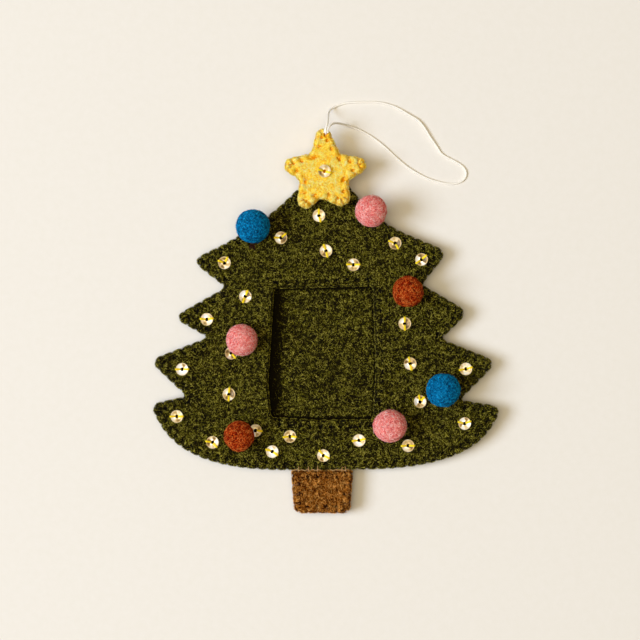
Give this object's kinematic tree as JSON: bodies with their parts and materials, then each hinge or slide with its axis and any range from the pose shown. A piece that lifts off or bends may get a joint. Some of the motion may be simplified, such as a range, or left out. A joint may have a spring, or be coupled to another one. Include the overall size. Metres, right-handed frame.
{
  "type": "felt christmas tree ornament",
  "caption": "Flat felt tree with branch tiers, photo window, star, trunk, wool balls, cup sequins and a thin hanging cord.",
  "frame": {"origin": "under the middle of the outline, on the surface that the ornament's back lies on, the cord left out", "axes": "+Z out of the front face, +Y from the trunk to the star, +X to the right seen from the front"},
  "size_m": [0.1361, 0.1632, 0.0213],
  "materials": {
    "green_felt": "thick wool felt, dark olive green with lighter and darker fibres",
    "yellow_felt": "wool felt, warm yellow",
    "brown_felt": "wool felt, brown with lighter fibres",
    "blue_wool": "felted wool ball, blue",
    "pink_wool": "felted wool ball, pink",
    "rust_wool": "felted wool ball, rust",
    "sequin_foil": "metallised faceted sequin film, pale champagne",
    "cord_yarn": "thin off-white cord, matt",
    "sewing_thread": "sewing threads, yellow over the sequins and colour-matched round the felt"
  },
  "bodies": {
    "root": {"tree_back_panel": "green_felt", "tree_front_panel": "green_felt", "star_back": "yellow_felt", "star_front": "yellow_felt", "trunk_back": "brown_felt", "trunk_front": "brown_felt", "star_sequin": "sequin_foil", "hanging_cord": "cord_yarn", "ball_blue_upper": "blue_wool", "ball_blue_lower": "blue_wool", "ball_pink_upper": "pink_wool", "ball_pink_left": "pink_wool", "ball_pink_lower": "pink_wool", "ball_rust_right": "rust_wool", "ball_rust_left": "rust_wool", "sequin_01": "sequin_foil", "sequin_02": "sequin_foil", "sequin_03": "sequin_foil", "sequin_04": "sequin_foil", "sequin_05": "sequin_foil", "sequin_06": "sequin_foil", "sequin_07": "sequin_foil", "sequin_08": "sequin_foil", "sequin_09": "sequin_foil", "sequin_10": "sequin_foil", "sequin_11": "sequin_foil", "sequin_12": "sequin_foil", "sequin_13": "sequin_foil", "sequin_14": "sequin_foil", "sequin_15": "sequin_foil", "sequin_16": "sequin_foil", "sequin_17": "sequin_foil", "sequin_18": "sequin_foil", "sequin_19": "sequin_foil", "sequin_20": "sequin_foil", "sequin_21": "sequin_foil", "sequin_22": "sequin_foil", "sequin_23": "sequin_foil", "sequin_24": "sequin_foil", "sequin_25": "sequin_foil"}
  },
  "joints": []
}
